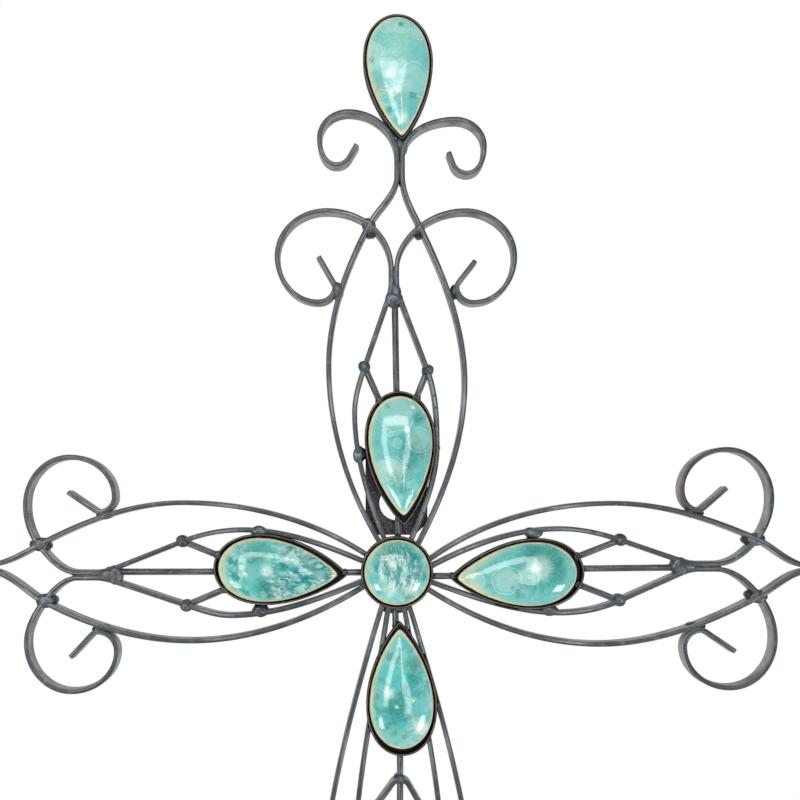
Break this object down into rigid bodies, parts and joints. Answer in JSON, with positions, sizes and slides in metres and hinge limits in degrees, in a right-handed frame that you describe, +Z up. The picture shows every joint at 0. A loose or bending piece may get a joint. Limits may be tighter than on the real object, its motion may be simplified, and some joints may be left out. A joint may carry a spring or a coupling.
{
  "type": "wall cross",
  "caption": "Open scrollwork wall cross of bent flat steel bar with turquoise glazed drop and round stones in bezel cups, hung by a round hole in a plate.",
  "frame": {"origin": "on the back face of the hanger plate, just above its hole, where the cross lies against the wall", "axes": "+X to the right as seen from the front, +Y back into the wall, +Z up; the front faces -Y"},
  "size_m": [0.7298, 0.0226, 0.9155],
  "materials": {
    "bar_steel": "hot-rolled mild steel, blue-grey mill scale under clear lacquer, semi-gloss",
    "bezel": "blackened steel cup with a rubbed brown-grey rim, semi-gloss",
    "hanger": "dark hammered-finish plate, semi-gloss",
    "glazed_stone": "turquoise crystalline glaze, glossy"
  },
  "bodies": {
    "root": {"hanger_plate": "hanger", "centre_cup": "bezel", "centre_stone": "glazed_stone", "top_cup": "bezel", "top_stone": "glazed_stone", "top_end_cup": "bezel", "top_end_stone": "glazed_stone", "top_left_outer_bar": "bar_steel", "top_left_inner_bar": "bar_steel", "top_right_outer_bar": "bar_steel", "top_right_inner_bar": "bar_steel", "top_root_rod": "bar_steel", "top_centre_rod": "bar_steel", "top_left_strut": "bar_steel", "top_right_strut": "bar_steel", "left_cup": "bezel", "left_stone": "glazed_stone", "left_end_cup": "bezel", "left_end_stone": "glazed_stone", "left_lower_outer_bar": "bar_steel", "left_lower_inner_bar": "bar_steel", "left_upper_outer_bar": "bar_steel", "left_upper_inner_bar": "bar_steel", "left_root_rod": "bar_steel", "left_centre_rod": "bar_steel", "left_lower_strut": "bar_steel", "left_upper_strut": "bar_steel", "lower_cup": "bezel", "lower_stone": "glazed_stone", "lower_end_cup": "bezel", "lower_end_stone": "glazed_stone", "lower_right_outer_bar": "bar_steel", "lower_right_inner_bar": "bar_steel", "lower_left_outer_bar": "bar_steel", "lower_left_inner_bar": "bar_steel", "lower_root_rod": "bar_steel", "lower_short_rod": "bar_steel", "lower_centre_rod": "bar_steel", "lower_arch": "bar_steel", "right_cup": "bezel", "right_stone": "glazed_stone", "right_end_cup": "bezel", "right_end_stone": "glazed_stone", "right_upper_outer_bar": "bar_steel", "right_upper_inner_bar": "bar_steel", "right_lower_outer_bar": "bar_steel", "right_lower_inner_bar": "bar_steel", "right_root_rod": "bar_steel", "right_centre_rod": "bar_steel", "right_upper_strut": "bar_steel", "right_lower_strut": "bar_steel"}
  },
  "joints": []
}
